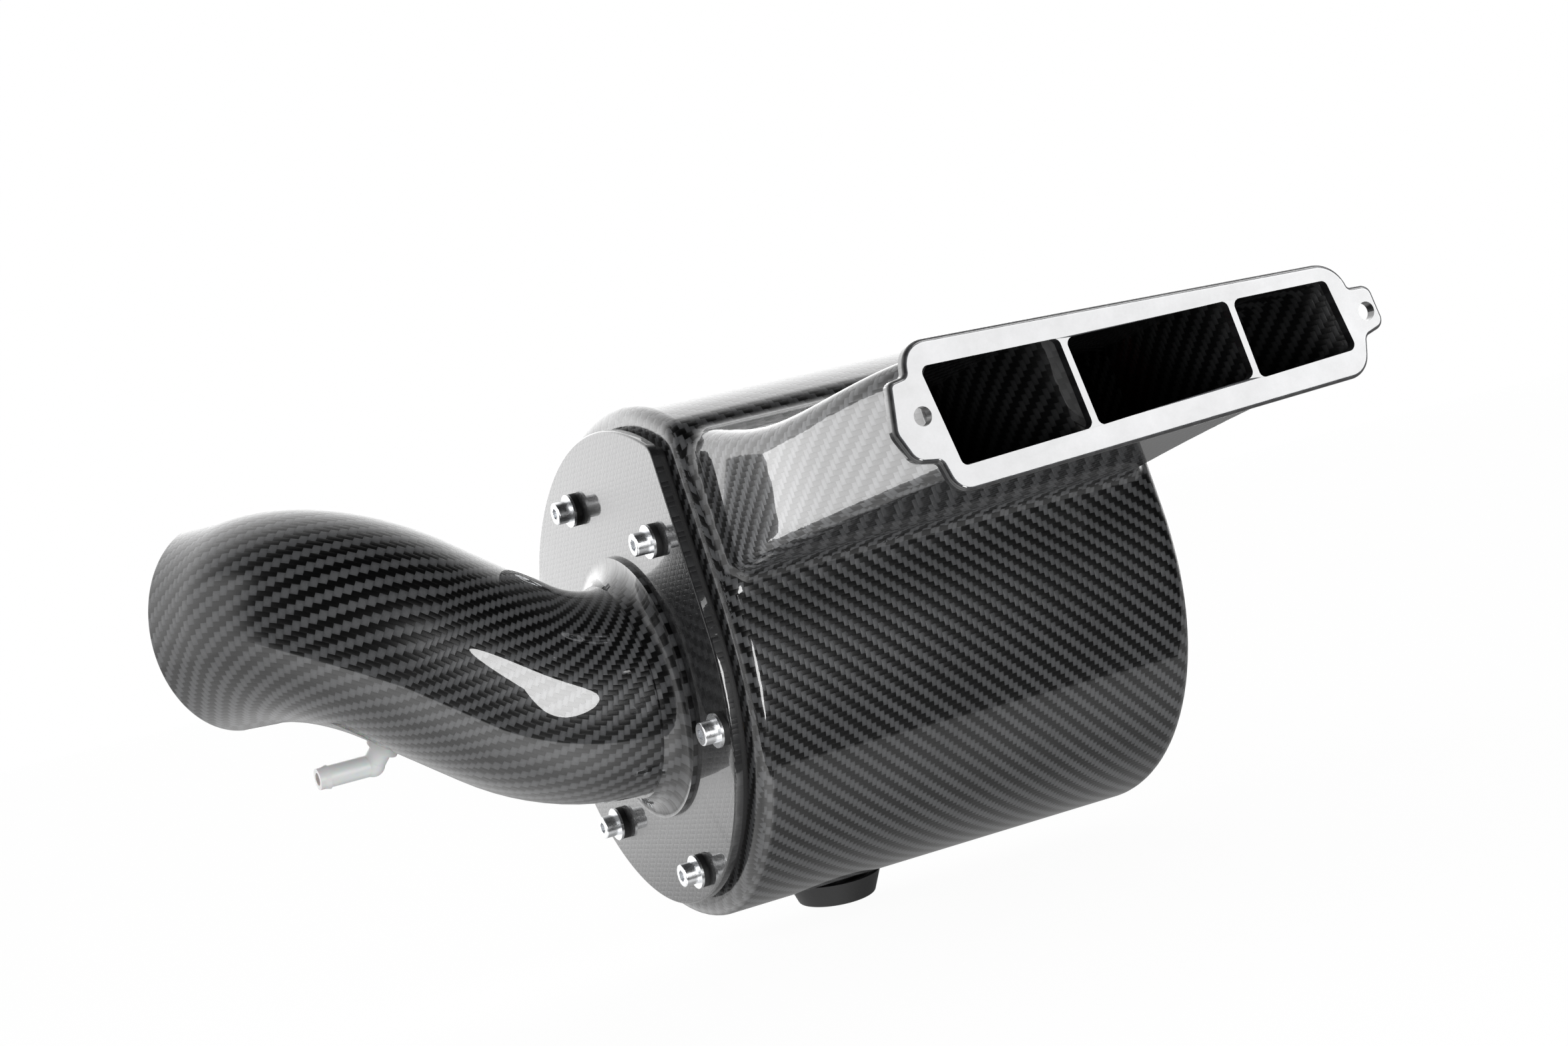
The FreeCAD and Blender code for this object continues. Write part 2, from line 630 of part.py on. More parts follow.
def outlet_pipe():
    outer = swept_pipe("pipe_outside", "Sizes.pipe_radius", 0.0)
    inner = swept_pipe("pipe_bore", "Sizes.pipe_radius - Sizes.pipe_wall", 1.0)
    tube = doc.addObject("Part::Cut", "pipe_tube")
    tube.Base = outer
    tube.Tool = inner
    drill = doc.addObject("Part::Feature", "pipe_drill")
    root, outward = barb_root()
    drill.Shape = Part.makeCylinder(size("stub_radius"), 12, root - outward * 6, outward)
    pipe = doc.addObject("Part::Cut", "pipe_drilled")
    pipe.Base = tube
    pipe.Tool = drill
    # Bonded joints lie at the two ends of the middle straight.
    start, heading = pipe_route(0.0)[1]
    end = start + heading * size("pipe_middle")
    past_start = beyond("space_past_first_joint", start, heading)
    past_end = beyond("space_past_second_joint", end, heading)
    lower = doc.addObject("Part::Cut", "pipe_before_first_joint")
    lower.Base = pipe
    lower.Tool = past_start
    rest = doc.addObject("Part::Common", "pipe_past_first_joint")
    rest.Base = pipe
    rest.Tool = past_start
    middle = doc.addObject("Part::Cut", "pipe_between_joints")
    middle.Base = rest
    middle.Tool = past_end
    upper = doc.addObject("Part::Common", "pipe_past_second_joint")
    upper.Base = pipe
    upper.Tool = past_end
    settle(lower, "outlet_pipe_lower")
    settle(middle, "outlet_pipe_middle")
    settle(upper, "outlet_pipe_upper")


def beyond(name, point, heading):
    """A block of space that starts at a point, square to a heading, and holds all past it."""
    block = doc.addObject("Part::Cylinder", name)
    block.setExpression("Radius", "Sizes.pipe_radius * 10")
    block.setExpression("Height", "Sizes.pipe_radius * 10")
    block.Placement = FreeCAD.Placement(point, FreeCAD.Rotation(V(0, 0, 1), heading))
    return block


def pipe_collar():
    """Flared ring that bonds the pipe to the lid's face."""
    body = new_body("collar_body")
    sketch = new_sketch(body, "collar_profile", "XY_Plane")
    inner = size("pipe_radius")
    outer = size("collar_radius")
    edge = size("collar_edge")
    height = size("collar_height")
    lip = inner + size("collar_lip")
    hollow = size("collar_hollow")
    foot = V(-edge, outer, 0)
    top = V(-height, lip, 0)
    # The flare is an arc whose middle is drawn in toward the corner of pipe and lid.
    middle = V(-edge - (height - edge) * hollow, lip + (outer - lip) * hollow, 0)
    corners = [V(-height, inner, 0), V(0, inner, 0), V(0, outer, 0), foot]
    edges = [Part.LineSegment(corners[i], corners[i + 1]) for i in range(3)]
    edges.append(Part.Arc(foot, middle, top))
    edges.append(Part.LineSegment(top, corners[0]))
    add_outline(sketch, edges)
    turn = body.newObject("PartDesign::Revolution", "collar_turn")
    turn.Profile = sketch
    turn.ReferenceAxis = (sketch, ["H_Axis"])
    turn.Angle = 360
    doc.recompute()
    return shape_piece("pipe_collar", port_move(body.Shape))


# ---------------------------------------------------------------- hose barb

def barb_root():
    """Point on the pipe's underside, and the direction that points straight out of it."""
    point, heading = pipe_route(0.0)[1]
    down = V(0, 0.42, -1)
    down = down - heading * down.dot(heading)
    down.normalize()
    return point + heading * size("barb_station") + down * size("pipe_radius"), down


def hose_barb():
    """Moulded elbow: a stub out of the pipe, then a ribbed hose tail along the box axis."""
    root, outward = barb_root()
    radius = size("barb_radius")
    length = size("barb_length")
    elbow = root + outward * size("elbow_height")
    inside = size("pipe_wall")
    stub = Part.makeCylinder(size("stub_radius"), size("elbow_height") + inside,
                             root - outward * inside, outward)
    ball = Part.makeSphere(radius + size("barb_rib"), elbow)
    tail = Part.makeCylinder(radius, length, elbow, V(-1, 0, 0))
    rib = Part.makeCone(radius + size("barb_rib"), radius - size("barb_rib"),
                        size("barb_rib_length"), elbow - V(length - size("barb_rib_length"), 0, 0),
                        V(-1, 0, 0))
    solid = stub.fuse([ball, tail, rib])
    bore = size("barb_bore")
    along = Part.makeCylinder(bore, length + 1, elbow, V(-1, 0, 0))
    down = Part.makeCylinder(bore, size("elbow_height") + inside + 1,
                             root - outward * (inside + 1), outward)
    return shape_piece("hose_barb", solid.cut([along, down]).removeSplitter())


def barb_boss():
    """Small collar that the barb is bonded into, on the pipe's skin."""
    root, outward = barb_root()
    sunk = size("pipe_wall")
    blank = Part.makeCylinder(size("boss_radius"), size("boss_rise") + sunk,
                              root - outward * sunk, outward)
    blank = blank.cut(swept_skin.Shape)
    hole = Part.makeCylinder(size("stub_radius"), 20, root - outward * 10, outward)
    return shape_piece("barb_boss", blank.cut(hole))


# ---------------------------------------------------------------- foot

def rubber_foot():
    """Shallow rubber cup on a centre boss, wider at its rim, open toward the barrel."""
    top = size("foot_top")
    bottom = size("foot_bottom")
    height = size("foot_height")
    skin = size("foot_skin")
    gap = size("foot_gap")
    depth = height - size("foot_floor")
    cup = Part.makeCone(top, bottom, height, V(0, 0, gap))
    hollow = Part.makeCone(top - skin, bottom - skin / 1.5, depth, V(0, 0, gap))
    boss = Part.makeCylinder(size("foot_boss"), height - 1)
    hole = Part.makeCylinder(size("screw_radius") + size("slack"), height + 4, V(0, 0, -1))
    under_head = height + gap - size("screw_head_height") - size("screw_sunk")
    recess = Part.makeCylinder(size("screw_head") + 0.6, 4, V(0, 0, under_head))
    foot = cup.cut(hollow).fuse(boss).cut([hole, recess])
    rim = edges_of(foot, lambda p: abs(p.z - height - gap) < 0.01
                   and math.hypot(p.x, p.y) > bottom - 0.5)
    foot = foot.makeFillet(size("foot_round"), rim)
    return shape_piece("rubber_foot", on_foot_axis(foot))


def foot_screw():
    height = size("foot_height") + size("foot_gap")
    under = height - size("screw_head_height") - size("screw_sunk")
    reach = size("screw_reach")
    head = Part.makeCylinder(size("screw_head"), size("screw_head_height"), V(0, 0, under))
    shank = Part.makeCylinder(size("screw_radius"), under + reach, V(0, 0, -reach))
    return shape_piece("foot_screw", on_foot_axis(head.fuse(shank)))


def foot_nut():
    """Flanged nut inside the barrel wall."""
    seat = -size("wall") - size("nut_gap")
    flange = size("nut_flange_thick")
    height = size("nut_height")
    base = Part.makeCylinder(size("nut_flange"), flange, V(0, 0, seat - flange))
    low = seat - flange - height
    hexagon_wire = Part.makePolygon([polar(size("nut_radius"), 60 * i) + V(0, 0, low)
                                     for i in range(7)])
    nut = Part.Face(hexagon_wire).extrude(V(0, 0, height)).fuse(base)
    hole = Part.makeCylinder(size("screw_radius") + 0.02, 20, V(0, 0, -18))
    return shape_piece("foot_nut", on_foot_axis(nut.cut(hole)))


# ---------------------------------------------------------------- cone filter

def port_move(shape):
    return shape.translated(V(0, size("port_y"), size("port_z")))


def filter_neck():
    """Rubber neck that slides on the pipe's inner end, with the filter's base flange."""
    start = size("neck_start")
    end = start + size("neck_length")
    inner = size("pipe_radius") + size("filter_fit")
    neck = ring(start, end, inner + size("neck_thick"), inner)
    base = ring(end, end + size("base_thick"), size("base_radius"), size("media_bore_front"))
    rim = edges_of(base, lambda p: math.hypot(p.y, p.z) > size("base_radius") - 0.1)
    return shape_piece("filter_neck", port_move(neck.fuse(base.makeFillet(2.0, rim))))


def star_wire(x, outer, inner, count):
    """Closed zigzag about the X axis: the pleats of the filter seen end on."""
    points = []
    for i in range(count * 2):
        radius = outer if i % 2 == 0 else inner
        around = polar(radius, 180.0 * i / count)
        points.append(V(x, around.x, around.y))
    points.append(points[0])
    return Part.makePolygon(points)


def filter_media():
    """Pleated cotton cone between the base flange and the end cap."""
    start = size("neck_start") + size("neck_length") + size("base_thick")
    end = start + size("media_length")
    count = int(size("pleat_count"))
    depth = size("pleat_depth")
    front = star_wire(start, size("media_front"), size("media_front") - depth, count)
    rear = star_wire(end, size("media_rear"), size("media_rear") - depth, count)
    cone = Part.makeLoft([front, rear], True, True)
    bore = Part.makeCone(size("media_bore_front"), size("media_bore_rear"), end - start,
                         V(start, 0, 0), V(1, 0, 0))
    return shape_piece("filter_media", port_move(cone.cut(bore)))


def filter_cap():
    start = size("neck_start") + size("neck_length") + size("base_thick") + size("media_length")
    cap = rod(start, start + size("cap_thick"), 0, 0, size("cap_radius"))
    rim = edges_of(cap, lambda p: abs(p.x - start - size("cap_thick")) < 0.01)
    return shape_piece("filter_cap", port_move(cap.makeFillet(3.0, rim)))


def filter_clamp():
    """Worm-drive clamp round the neck: band, screw housing and screw."""
    start = size("neck_start") + 6
    inner = size("pipe_radius") + size("filter_fit") + size("neck_thick")
    outer = inner + size("band_thick")
    width = size("band_width")
    shape_piece("clamp_band", port_move(ring(start, start + width, outer, inner)))
    length = size("clamp_length")
    middle = start + width / 2
    axis = outer + size("clamp_axis")
    side = V(0, 1, 0)
    housing = Part.makeBox(width + 1, length, size("clamp_box") - 2,
                           V(start - 0.5, -length / 2, outer))
    hole = Part.makeCylinder(size("clamp_screw") + 0.05, length * 2, V(middle, -length, axis), side)
    shape_piece("clamp_housing", port_move(housing.cut(hole)))
    screw = Part.makeCylinder(size("clamp_screw"), length, V(middle, -length / 2, axis), side)
    head_length = size("clamp_head_length")
    head = Part.makeCylinder(size("clamp_head"), head_length, V(middle, length / 2, axis), side)
    slot = Part.makeBox(8, 1.2, 1.0, V(middle - 4, length / 2 + head_length - 1.1, axis - 0.5))
    shape_piece("clamp_screw", port_move(screw.fuse(head).cut(slot)))


# ---------------------------------------------------------------- assembly

barrel = barrel_outside()
hollow = barrel_hollow()
duct = duct_loft("duct_outside", 0.0, 0.0)
duct_hollow = duct_loft("duct_hollow", size("duct_wall"), 2.0)
inside = doc.addObject("Part::MultiFuse", "housing_inside")
inside.Shapes = [hollow, duct_hollow]
doc.recompute()
housing_shell(barrel, duct, inside)
inlet_flange()
inlet_vane(0, duct_hollow)
inlet_vane(1, duct_hollow)
lid_plate()
lid_gasket()
lid_fasteners()
lid_inserts()
outlet_pipe()
swept_skin = doc.getObject("pipe_outside_sweep")
doc.recompute()
pipe_collar()
hose_barb()
barb_boss()
rubber_foot()
foot_screw()
foot_nut()
filter_neck()
filter_media()
filter_cap()
filter_clamp()
doc.recompute()

for item in doc.Objects:
    if "Invalid" in item.State or "Error" in item.State:
        raise RuntimeError(f"{item.Name} failed: {item.State}")
for piece in SUBPARTS:
    if piece.Shape.isNull() or not piece.Shape.isValid():
        raise RuntimeError(f"{piece.Label} has no valid shape")

os.makedirs("parts", exist_ok=True)
for piece in SUBPARTS:
    piece.Shape.exportStep(f"parts/{piece.Label}.step")
    print(f"{piece.Label}: {len(piece.Shape.Solids)} solids, {piece.Shape.Volume / 1000:.1f} cm3")
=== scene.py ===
import bmesh
import bpy
import json
import math
from mathutils import Matrix, Quaternion, Vector


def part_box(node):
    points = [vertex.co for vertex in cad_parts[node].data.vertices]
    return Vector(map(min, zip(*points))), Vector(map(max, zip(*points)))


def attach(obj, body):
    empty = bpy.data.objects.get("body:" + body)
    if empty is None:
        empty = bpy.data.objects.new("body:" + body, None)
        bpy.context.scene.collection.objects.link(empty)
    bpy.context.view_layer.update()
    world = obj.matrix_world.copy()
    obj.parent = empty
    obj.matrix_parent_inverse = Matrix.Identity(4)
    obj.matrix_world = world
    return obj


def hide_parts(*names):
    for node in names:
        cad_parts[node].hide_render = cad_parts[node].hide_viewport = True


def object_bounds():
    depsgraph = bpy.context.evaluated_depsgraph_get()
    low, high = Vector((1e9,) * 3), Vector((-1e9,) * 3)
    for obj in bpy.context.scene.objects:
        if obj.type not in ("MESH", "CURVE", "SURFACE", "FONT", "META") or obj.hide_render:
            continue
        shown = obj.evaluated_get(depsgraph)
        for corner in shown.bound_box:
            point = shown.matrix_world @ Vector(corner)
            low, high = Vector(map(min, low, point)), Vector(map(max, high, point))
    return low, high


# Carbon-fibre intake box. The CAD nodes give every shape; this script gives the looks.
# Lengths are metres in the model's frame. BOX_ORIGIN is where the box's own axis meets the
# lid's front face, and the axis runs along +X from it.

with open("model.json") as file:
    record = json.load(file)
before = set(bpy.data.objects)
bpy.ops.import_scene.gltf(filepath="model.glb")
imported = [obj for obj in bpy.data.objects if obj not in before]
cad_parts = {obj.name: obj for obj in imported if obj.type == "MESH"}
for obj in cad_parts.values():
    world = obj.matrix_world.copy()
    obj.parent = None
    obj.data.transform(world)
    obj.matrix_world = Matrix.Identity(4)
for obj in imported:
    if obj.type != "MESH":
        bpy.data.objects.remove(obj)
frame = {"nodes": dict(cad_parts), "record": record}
start_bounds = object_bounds()
nodes = frame["nodes"]
bodies = frame["record"]["behaviour"]["bodies"]

MM = 0.001
BOX_ORIGIN = Vector((-132.25, 200.0, -67.0)) * MM
BARREL_RADIUS = 93.5 * MM

# The weave: the width of a tow, the tows in one repeat of the twill, and how it steps.
TOW_MM = 1.85
TWILL_REPEAT = 4.0
TWILL_TOP_BELOW = 1.5
TWILL_LEAN = 1.0
TOW_RELIEF = 0.12 * MM

# The outlet pipe's route in millimetres and degrees, with the CAD's own names: a spigot and
# lead, a bend that rises, a straight middle, a bend that turns away, and a tail.
PIPE_RADIUS = 39.5 * MM
SPIGOT_END = 29.6
PIPE_ASIDE = -6.0
PIPE_BELOW = -2.0
PIPE_LEAD = 8.0
RISE_SIDE, RISE_TURN, RISE_RADIUS = 83.0, 38.0, 69.0
PIPE_MIDDLE = 39.0
AWAY_SIDE, AWAY_TURN, AWAY_RADIUS = -24.0, 61.5, 54.0
PIPE_TAIL = 19.0
STEPS_PER_BEND = 24

# Where the housing's weave changes its mapping, from BOX_ORIGIN.
BARREL_END_LIMIT = -90 * MM
DUCT_ROOT_LIMIT = -86 * MM
DUCT_LOW_LIMIT = 22 * MM

# The duct's middle line from BOX_ORIGIN: where it leaves the barrel, and how far it moves
# on its way to the flange.
DUCT_MIDDLE_X, DUCT_SHIFT_X = 96.0, 34.0
DUCT_MIDDLE_Z, DUCT_SHIFT_Z = 55.0, 12.0

# Shading: when points are joined, when an edge is sharp, and which faces are end faces.
WELD_DISTANCE = 0.002 * MM
SHARP_DEGREES = 28.0
FLAT_FACE_WEIGHT = 100
END_FACE_COSINE = 0.7
FLANGE_FACE_COSINE = -0.9
FLANGE_FACE_DEPTH = 0.4 * MM
FLANGE_SHADING_SLOPE = -0.325

# The studio: how bright each part of the room is in the gloss, the share of that light which
# is kept off the cloth, and the floor, which mostly glows by itself.
BACKDROP_GLOW = 3.6
WALL_GLOW = 1.6
TABLE_GLOW_LEFT = 3.0
TABLE_GLOW_RIGHT = 0.85
CLOTH_LIGHT_CUT = 0.7
FLOOR_GLOW = 1.06
FLOOR_GLOW_SHARE = 0.9
FLOOR_HALF_WIDTH = 8.0
FLOOR_DROP = 0.2 * MM

# The camera: its place, where it looks, and which way is up for it.
CAMERA_PLACE = Vector((-546.9, -887.2, -22.6)) * MM
CAMERA_FORWARD = (0.412, 0.911, 0.0)
CAMERA_UP = (0.2201, -0.0995, 0.9704)
SENSOR_WIDTH = 36.0
FOCAL_LENGTH = 70.9


def body_with(node):
    for body, members in bodies.items():
        if node in members:
            return body
    raise ValueError(node)


# ---------------------------------------------------------------- node helpers

class Graph:
    """Short names for building one material's node tree."""

    def __init__(self, name):
        self.material = bpy.data.materials.new(name)
        self.material.use_nodes = True
        self.tree = self.material.node_tree
        self.tree.nodes.clear()
        self.output = self.tree.nodes.new("ShaderNodeOutputMaterial")

    def node(self, kind, **values):
        made = self.tree.nodes.new(kind)
        for key, value in values.items():
            setattr(made, key, value)
        return made

    def put(self, value, socket):
        if isinstance(value, bpy.types.NodeSocket):
            self.tree.links.new(value, socket)
        else:
            socket.default_value = value

    def math(self, operation, *values):
        made = self.node("ShaderNodeMath", operation=operation)
        for value, socket in zip(values, made.inputs):
            self.put(value, socket)
        return made.outputs[0]

    def noise(self, vector, scale, detail=3.0, roughness=0.5):
        made = self.node("ShaderNodeTexNoise")
        self.put(vector, made.inputs["Vector"])
        made.inputs["Scale"].default_value = scale
        made.inputs["Detail"].default_value = detail
        made.inputs["Roughness"].default_value = roughness
        return made.outputs["Fac"]

    def place(self):
        return self.node("ShaderNodeTexCoord").outputs["Object"]

    def ramp(self, value, low, high):
        """Grey level or colour between low and high, steered by a 0 to 1 value."""
        made = self.node("ShaderNodeMix", data_type="RGBA")
        self.put(value, made.inputs["Factor"])
        made.inputs["A"].default_value = (*low, 1.0)
        made.inputs["B"].default_value = (*high, 1.0)
        return made.outputs["Result"]

    def bump(self, height, strength, distance):
        made = self.node("ShaderNodeBump")
        made.inputs["Strength"].default_value = strength
        made.inputs["Distance"].default_value = distance
        self.put(height, made.inputs["Height"])
        return made.outputs["Normal"]

    def shader(self, **values):
        made = self.node("ShaderNodeBsdfPrincipled")
        for key, value in values.items():
            self.put(value, made.inputs[key.replace("_", " ")])
        return made

    def finish(self, surface):
        self.tree.links.new(surface, self.output.inputs["Surface"])
        return self.material


# ---------------------------------------------------------------- materials

def twill(graph):
    """2x2 twill from the weave coordinates: which way the top tow runs, and its relief."""
    uv = graph.node("ShaderNodeUVMap", uv_map="weave").outputs["UV"]
    split = graph.node("ShaderNodeSeparateXYZ")
    graph.put(uv, split.inputs[0])
    # A little waviness keeps the cloth from looking printed.
    drift = graph.math("MULTIPLY", graph.math("SUBTRACT", graph.noise(graph.place(), 18.0), 0.5), 0.5)
    across = graph.math("ADD", split.outputs["X"], drift)
    along = graph.math("ADD", split.outputs["Y"], drift)
    column = graph.math("FLOOR", across)
    row = graph.math("FLOOR", along)
    phase = graph.math("ADD", column, graph.math("MULTIPLY", row, TWILL_LEAN))
    step = graph.math("FLOORED_MODULO", phase, TWILL_REPEAT)
    warp_on_top = graph.math("LESS_THAN", step, TWILL_TOP_BELOW)
    # Relief of a tow: round across its width, and arched over the two tows it floats on.
    warp_phase = graph.math("MULTIPLY_ADD", along, TWILL_LEAN, column)
    warp_float = graph.math("FLOORED_MODULO", warp_phase, TWILL_REPEAT)
    weft_phase = graph.math("MULTIPLY_ADD", row, TWILL_LEAN, across)
    weft_float = graph.math("FLOORED_MODULO", weft_phase, TWILL_REPEAT)

    def arch(position, period):
        return graph.math("ABSOLUTE", graph.math("SINE", graph.math("MULTIPLY", position, period)))

    warp_height = graph.math("MULTIPLY", arch(across, math.pi), arch(warp_float, math.pi / 2))
    weft_height = graph.math("MULTIPLY", arch(along, math.pi), arch(weft_float, math.pi / 2))
    pick = graph.node("ShaderNodeMix", data_type="FLOAT")
    graph.put(warp_on_top, pick.inputs["Factor"])
    graph.put(weft_height, pick.inputs["A"])
    graph.put(warp_height, pick.inputs["B"])
    height = graph.math("POWER", pick.outputs["Result"], 0.5)
    return warp_on_top, height


def carbon(name, bright, dark):
    """Clear-coated twill with a painted sheen: one tow family is painted bright, the other stays dark
    under the coat.
    """
    graph = Graph(name)
    warp_on_top, height = twill(graph)
    place = graph.place()
    # Fine filaments, and a slow drift of tone from tow to tow.
    filament = graph.math("MULTIPLY_ADD", graph.noise(place, 1100.0, 2.0), 0.5, 0.75)
    drift = graph.math("MULTIPLY_ADD", graph.noise(place, 35.0, 2.0), 0.7, 0.65)
    edge = graph.math("MULTIPLY_ADD", height, 0.45, 0.55)
    tone = graph.math("MULTIPLY", graph.math("MULTIPLY", filament, drift), edge)
    # Painted sheen: only the top tows of one family take the bright colour, as if lit along their
    # fibres.
    painted_sheen = graph.math("MULTIPLY", warp_on_top, tone)
    colour = graph.ramp(painted_sheen, (dark, dark, dark * 1.06), (bright, bright * 1.02, bright * 1.06))
    shader = graph.shader(
        Base_Color=colour, Roughness=0.42, Specular_IOR_Level=0.3,
        Normal=graph.bump(height, 0.8, TOW_RELIEF),
        Coat_Weight=1.0, Coat_Roughness=0.01, Coat_IOR=1.5)
    return graph.finish(shader.outputs[0])


def sanded_face(name):
    """The flange's face: flatted resin with long, shallow waves.

    The face itself is upright. Only its shading leans back, by about 18 degrees.
    """
    graph = Graph(name)
    place = graph.place()
    split = graph.node("ShaderNodeSeparateXYZ")
    graph.put(place, split.inputs[0])
    slope = graph.math("MULTIPLY", split.outputs["Z"], FLANGE_SHADING_SLOPE)
    waves = graph.math("MULTIPLY", graph.noise(place, 26.0, 4.0, 0.6), 0.0006)
    relief = graph.bump(graph.math("ADD", slope, waves), 1.0, 1.0)
    speckle = graph.noise(place, 420.0, 2.0)
    cloud = graph.noise(place, 70.0, 5.0, 0.65)
    colour = graph.ramp(cloud, (0.005, 0.005, 0.006), (0.11, 0.112, 0.118))
    rough = graph.math("MULTIPLY_ADD", speckle, 0.06, 0.03)
    return graph.finish(graph.shader(
        Base_Color=colour, Roughness=rough, Normal=relief, Coat_Weight=1.0,
        Coat_Roughness=0.03, Coat_IOR=1.5, Coat_Normal=relief).outputs[0])


def zinc_steel():
    graph = Graph("zinc_steel")
    place = graph.place()
    grain = graph.noise(place, 1400.0, 3.0)
    cloud = graph.noise(place, 160.0)
    colour = graph.ramp(cloud, (0.78, 0.79, 0.81), (0.93, 0.94, 0.95))
    rough = graph.math("MULTIPLY_ADD", grain, 0.14, 0.22)
    return graph.finish(graph.shader(
        Base_Color=colour, Metallic=1.0, Roughness=rough,
        Normal=graph.bump(grain, 0.25, 0.0001)).outputs[0])


def brass_insert():
    graph = Graph("brass_insert")
    grain = graph.noise(graph.place(), 1200.0)
    colour = graph.ramp(grain, (0.62, 0.45, 0.2), (0.78, 0.6, 0.3))
    return graph.finish(graph.shader(Base_Color=colour, Metallic=1.0, Roughness=0.3).outputs[0])


def rubber(name, low, high, roughness):
    graph = Graph(name)
    place = graph.place()
    grain = graph.noise(place, 900.0, 4.0)
    colour = graph.ramp(graph.noise(place, 60.0), low, high)
    return graph.finish(graph.shader(
        Base_Color=colour, Roughness=roughness,
        Normal=graph.bump(grain, 0.35, 0.0002)).outputs[0])


def white_nylon():
    graph = Graph("white_nylon")
    place = graph.place()
    cloud = graph.noise(place, 120.0)
    colour = graph.ramp(cloud, (0.84, 0.85, 0.85), (0.92, 0.92, 0.92))
    return graph.finish(graph.shader(
        Base_Color=colour, Roughness=0.38, Subsurface_Weight=0.4, Subsurface_Scale=0.003,
        Normal=graph.bump(graph.noise(place, 700.0), 0.15, 0.0001)).outputs[0])


def filter_cotton():
    graph = Graph("filter_cotton")
    place = graph.place()
    mesh = graph.node("ShaderNodeTexBrick")
    graph.put(place, mesh.inputs["Vector"])
    mesh.inputs["Scale"].default_value = 420.0
    mesh.inputs["Color1"].default_value = (0.30, 0.02, 0.02, 1.0)
    mesh.inputs["Color2"].default_value = (0.24, 0.015, 0.018, 1.0)
    mesh.inputs["Mortar"].default_value = (0.12, 0.01, 0.01, 1.0)
    fuzz = graph.noise(place, 1500.0, 5.0)
    return graph.finish(graph.shader(
        Base_Color=mesh.outputs["Color"], Roughness=0.85,
        Normal=graph.bump(fuzz, 0.5, 0.0004)).outputs[0])


# ---------------------------------------------------------------- weave coordinates

def axis_steps(turn_side, turn, radius, point, heading):
    """Points and headings round one bend of the outlet pipe."""
    side = Vector((0.0, math.cos(math.radians(turn_side)), math.sin(math.radians(turn_side))))
    side -= heading * side.dot(heading)
    side.normalize()
    steps = []
    for i in range(1, STEPS_PER_BEND + 1):
        angle = math.radians(turn) * i / STEPS_PER_BEND
        aside = side * radius * (1 - math.cos(angle))
        ahead = heading * radius * math.sin(angle)
        steps.append((point + aside + ahead, heading * math.cos(angle) + side * math.sin(angle)))
    return steps


def pipe_axis():
    """Stations along the outlet pipe's centre line: point, heading, up direction, distance."""
    heading = Vector((-1.0, 0.0, 0.0))
    inner_end = BOX_ORIGIN + Vector((SPIGOT_END, PIPE_ASIDE, PIPE_BELOW)) * MM
    lead_end = inner_end + heading * (SPIGOT_END + PIPE_LEAD) * MM
    steps = [(inner_end, heading), (lead_end, heading)]
    steps += axis_steps(RISE_SIDE, RISE_TURN, RISE_RADIUS * MM, *steps[-1])
    steps.append((steps[-1][0] + steps[-1][1] * PIPE_MIDDLE * MM, steps[-1][1]))
    steps += axis_steps(AWAY_SIDE, AWAY_TURN, AWAY_RADIUS * MM, *steps[-1])
    steps.append((steps[-1][0] + steps[-1][1] * PIPE_TAIL * MM, steps[-1][1]))
    stations = []
    up = Vector((0.0, 0.0, 1.0))
    distance = 0.0
    for i, (point, heading) in enumerate(steps):
        if i:
            distance += (point - steps[i - 1][0]).length
            up = steps[i - 1][1].rotation_difference(heading) @ up
        stations.append((point, heading, up.copy(), distance))
    return stations


def nearest_on_axis(stations, point):
    """Centre, heading, up direction and distance of the pipe's centre line beside a point."""
    best = None
    for (start, heading, up, distance), (end, end_heading, end_up, far) in zip(stations, stations[1:]):
        span = end - start
        along = min(max((point - start).dot(span) / span.length_squared, 0.0), 1.0)
        centre = start + span * along
        gap = (point - centre).length
        if best is None or gap < best[0]:
            best = (gap, centre, heading.lerp(end_heading, along), up.lerp(end_up, along),
                    distance + (far - distance) * along)
    return best[1:]


def on_pipe(stations):
    """Maps a point to distance along the pipe and distance round it."""
    def at(point, normal, hint):
        centre, heading, up, distance = nearest_on_axis(stations, point)
        out = point - centre
        side = heading.cross(up)
        angle = math.atan2(out.dot(side), out.dot(up))
        if hint is not None:
            angle += 2 * math.pi * round((hint - angle) / (2 * math.pi))
        return distance, angle * PIPE_RADIUS, angle
    return at


def round_the_pipe(mesh, stations):
    """Exact normals for the pipe's skins, square to its centre line; end faces stay flat."""
    normals = []
    skins = {}
    for index, vertex in enumerate(mesh.vertices):
        centre, heading, _, _ = nearest_on_axis(stations, vertex.co)
        heading = heading.normalized()
        out = vertex.co - centre
        out -= heading * out.dot(heading)
        skins[index] = (out.normalized(), heading)
    for face in mesh.polygons:
        for corner in face.vertices:
            out, heading = skins[corner]
            if abs(face.normal.dot(heading)) > END_FACE_COSINE:
                normals.append(face.normal.copy())
            else:
                normals.append(out if face.normal.dot(out) > 0 else -out)
    mesh.normals_split_custom_set(normals)


def on_barrel(point, normal, hint):
    """Maps the housing: round the barrel, flat on its ends, and along the duct."""
    place = point - BOX_ORIGIN
    steepest = max(range(3), key=lambda k: abs(normal[k]))
    if steepest == 0 and place.y > BARREL_END_LIMIT:
        return place.y, place.z, 0.0
    if place.y < DUCT_ROOT_LIMIT and place.z > DUCT_LOW_LIMIT:
        if steepest == 2:
            return place.x, place.y, 0.0
        return (place.y, place.z, 0.0) if steepest == 0 else (place.x, place.z, 0.0)
    angle = math.atan2(place.z, -place.y)
    if hint is not None:
        angle += 2 * math.pi * round((hint - angle) / (2 * math.pi))
    return place.x, angle * BARREL_RADIUS, angle


def on_lid(point, normal, hint):
    return point.y, point.z, 0.0


def on_flange(point, normal, hint):
    return point.x, point.z, 0.0


